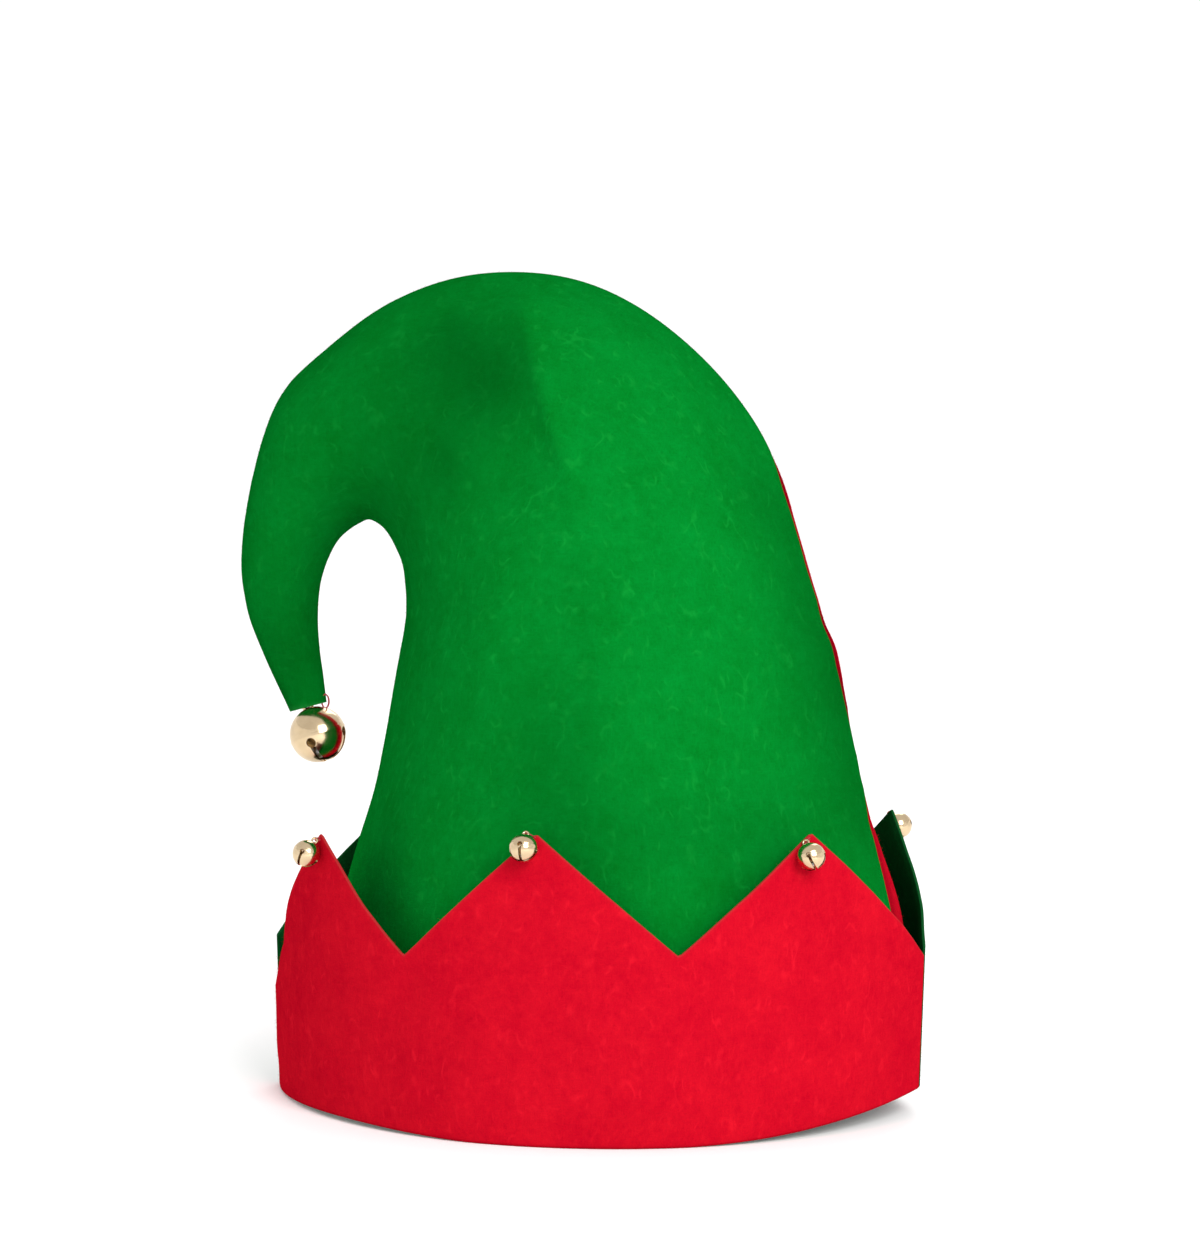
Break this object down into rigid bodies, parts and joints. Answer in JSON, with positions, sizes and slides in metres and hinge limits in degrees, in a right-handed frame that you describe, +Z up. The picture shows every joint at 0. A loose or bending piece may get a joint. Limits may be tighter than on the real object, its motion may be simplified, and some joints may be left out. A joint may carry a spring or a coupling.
{
  "type": "elf hat",
  "caption": "Curled felt elf hat in two halves with a turned-up zigzag cuff and a jingle bell on each point and at the end of the tail.",
  "frame": {"origin": "middle of the hat's footprint, on the surface that the rim stands on", "axes": "+Z up; -Y towards the front, which is green over red; -X towards the curled tail; +X towards the side where the crown has no curl"},
  "size_m": [0.2422, 0.1942, 0.2828],
  "materials": {
    "green_felt": "matt needled felt",
    "dark_green_felt": "matt needled felt",
    "red_felt": "matt needled felt",
    "gold": "polished gold plate",
    "steel": "plain"
  },
  "bodies": {
    "root": {"crown_front": "green_felt", "crown_back": "red_felt", "cuff_front": "red_felt", "cuff_back": "dark_green_felt", "tip_bell": "gold", "tip_bell_pellet": "steel", "cuff_bell_front_left": "gold", "cuff_bell_front_left_pellet": "steel", "cuff_bell_front_middle": "gold", "cuff_bell_front_middle_pellet": "steel", "cuff_bell_front_right": "gold", "cuff_bell_front_right_pellet": "steel", "cuff_bell_back_left": "gold", "cuff_bell_back_left_pellet": "steel", "cuff_bell_back_middle": "gold", "cuff_bell_back_middle_pellet": "steel", "cuff_bell_back_right": "gold", "cuff_bell_back_right_pellet": "steel"}
  },
  "joints": []
}
